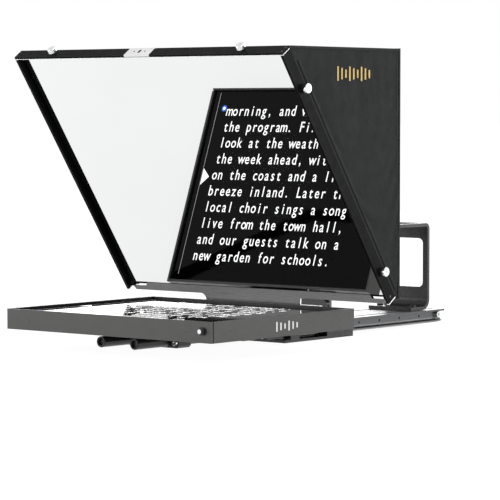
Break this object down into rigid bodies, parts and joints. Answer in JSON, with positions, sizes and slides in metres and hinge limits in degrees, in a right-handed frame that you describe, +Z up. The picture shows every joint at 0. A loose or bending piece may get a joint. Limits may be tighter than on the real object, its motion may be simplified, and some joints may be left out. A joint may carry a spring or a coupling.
{
  "type": "teleprompter",
  "caption": "On-camera teleprompter: flat monitor on rods under a slanted, hooded beamsplitter glass, with a camera riser on a tripod slide rail.",
  "frame": {"origin": "mouth of the 3/8 inch tripod socket, at the underside of the base plate", "axes": "+Y from the presenter towards the camera, along the slide rail; +Z up; +X to the presenter's right"},
  "size_m": [0.496, 0.7132, 0.416],
  "materials": {
    "black_anodised": "black anodised, satin",
    "silver_anodised": "clear anodised, satin",
    "bare_aluminium": "milled",
    "dark_powder": "fine-textured dark grey powder coat",
    "chrome": "polished",
    "steel_screws": "zinc plated",
    "black_steel": "black oxide",
    "black_plastic": "matt moulded",
    "white_plastic": "slippery wear strip",
    "rubber": "matt",
    "hood_fabric": "black laminated nylon",
    "mirror_glass": "half-silvered beamsplitter, coated front face",
    "screen_glass": "glossy cover glass",
    "lcd": "dark liquid crystal cell",
    "circuit_board": "solder mask"
  },
  "bodies": {
    "base": {"base_plate": "black_anodised", "slide_jaws": "black_anodised", "jaw_screws": "steel_screws", "glide_strips": "white_plastic"},
    "sled_lock": {"sled_lock_knob": "black_plastic"},
    "sled": {"slide_rail": "silver_anodised", "end_stop_screws": "chrome", "rod_block": "black_anodised", "rod_left": "black_anodised", "rod_right": "black_anodised", "rod_caps": "black_plastic", "cross_plate": "dark_powder", "cross_plate_screws": "steel_screws", "pivot_blocks": "black_anodised", "pivot_pins": "black_steel"},
    "plate_latch": {"latch_lever": "black_anodised", "latch_edge": "bare_aluminium"},
    "riser": {"riser_bracket": "black_anodised", "riser_screws": "black_steel", "riser_t_nuts": "steel_screws", "camera_pad": "rubber"},
    "camera_washer": {"camera_washer": "steel_screws"},
    "camera_screw": {"camera_screw": "chrome"},
    "glass_frame": {"frame_rail_left": "black_anodised", "frame_rail_right": "black_anodised", "frame_rail_top": "black_anodised", "glass_ledge": "black_anodised", "corner_brackets": "black_anodised", "frame_screws": "black_steel", "beamsplitter_glass": "mirror_glass", "glass_gaskets": "rubber", "accessory_plate": "bare_aluminium", "hood_side_left": "hood_fabric", "hood_side_right": "hood_fabric", "hood_top_panel": "hood_fabric", "hood_rear_panel": "hood_fabric", "hood_hoop": "black_steel", "hood_stays": "black_anodised"},
    "monitor": {"monitor_front": "dark_powder", "monitor_case": "dark_powder", "monitor_rear_cover": "black_anodised", "lcd_panel": "lcd", "backlight_unit": "white_plastic", "cover_glass": "screen_glass", "screen_bezel": "black_plastic", "control_board": "circuit_board", "connector_panel": "black_plastic", "monitor_screws": "black_steel", "monitor_mount_plate": "black_anodised", "rod_clamps": "black_anodised", "button_bushing": "black_plastic"},
    "rod_clamp_screw": {"rod_clamp_screw": "chrome"},
    "power_button": {"power_button": "chrome"},
    "menu_button": {"menu_button": "black_plastic"},
    "thumbscrew_left_low": {"thumbscrew_left_low": "chrome"},
    "thumbscrew_left_high": {"thumbscrew_left_high": "chrome"},
    "thumbscrew_right_low": {"thumbscrew_right_low": "chrome"},
    "thumbscrew_right_high": {"thumbscrew_right_high": "chrome"},
    "thumbscrew_top_left": {"thumbscrew_top_left": "chrome"},
    "thumbscrew_top_right": {"thumbscrew_top_right": "chrome"}
  },
  "joints": [
    {"name": "sled_slide", "type": "slide", "parent": "base", "child": "sled", "axis": [0, 1, 0], "range_m": [-0.2, 0.004]},
    {"name": "sled_lock_turn", "type": "hinge", "parent": "base", "child": "sled_lock", "pos_m": [-0.056, 0.048, 0.017], "axis": [-1, 0, 0], "continuous": true},
    {"name": "plate_latch_turn", "type": "hinge", "parent": "sled", "child": "plate_latch", "pos_m": [0.129, -0.08, 0.059], "axis": [0, 1, 0], "range_deg": [-70, 0]},
    {"name": "riser_slide", "type": "slide", "parent": "sled", "child": "riser", "axis": [0, 1, 0], "range_m": [-0.2, 0.03]},
    {"name": "camera_screw_slide", "type": "slide", "parent": "riser", "child": "camera_washer", "axis": [0, 1, 0], "range_m": [-0.02, 0.02]},
    {"name": "camera_screw_turn", "type": "hinge", "parent": "camera_washer", "child": "camera_screw", "pos_m": [0, 0.24, 0.15], "axis": [0, 0, 1], "continuous": true},
    {"name": "glass_fold", "type": "hinge", "parent": "sled", "child": "glass_frame", "pos_m": [0, -0.07909, 0.07442], "axis": [1, 0, 0], "range_deg": [0, 50]},
    {"name": "monitor_slide", "type": "slide", "parent": "sled", "child": "monitor", "axis": [0, 1, 0], "range_m": [-0.06, 0]},
    {"name": "rod_clamp_screw_turn", "type": "hinge", "parent": "monitor", "child": "rod_clamp_screw", "pos_m": [0.045, -0.3, 0.0153], "axis": [0, -1, 0], "continuous": true},
    {"name": "power_button_press", "type": "slide", "parent": "monitor", "child": "power_button", "axis": [0, 1, 0], "range_m": [0, 0.002], "stiffness_N_per_m": 500, "springref_m": -0.001},
    {"name": "menu_button_press", "type": "slide", "parent": "monitor", "child": "menu_button", "axis": [1, 0, 0], "range_m": [0, 0.0012], "stiffness_N_per_m": 500, "springref_m": -0.001},
    {"name": "thumbscrew_left_low_turn", "type": "hinge", "parent": "glass_frame", "child": "thumbscrew_left_low", "pos_m": [-0.2394, -0.09921, 0.10915], "axis": [-1, 0, 0], "continuous": true},
    {"name": "thumbscrew_left_high_turn", "type": "hinge", "parent": "glass_frame", "child": "thumbscrew_left_high", "pos_m": [-0.2394, -0.27042, 0.35549], "axis": [-1, 0, 0], "continuous": true},
    {"name": "thumbscrew_right_low_turn", "type": "hinge", "parent": "glass_frame", "child": "thumbscrew_right_low", "pos_m": [0.2394, -0.09921, 0.10915], "axis": [1, 0, 0], "continuous": true},
    {"name": "thumbscrew_right_high_turn", "type": "hinge", "parent": "glass_frame", "child": "thumbscrew_right_high", "pos_m": [0.2394, -0.27042, 0.35549], "axis": [1, 0, 0], "continuous": true},
    {"name": "thumbscrew_top_left_turn", "type": "hinge", "parent": "glass_frame", "child": "thumbscrew_top_left", "pos_m": [-0.17, -0.30931, 0.40567], "axis": [0, -0.5707, 0.8211], "continuous": true},
    {"name": "thumbscrew_top_right_turn", "type": "hinge", "parent": "glass_frame", "child": "thumbscrew_top_right", "pos_m": [0.168, -0.30931, 0.40567], "axis": [0, -0.5707, 0.8211], "continuous": true}
  ]
}
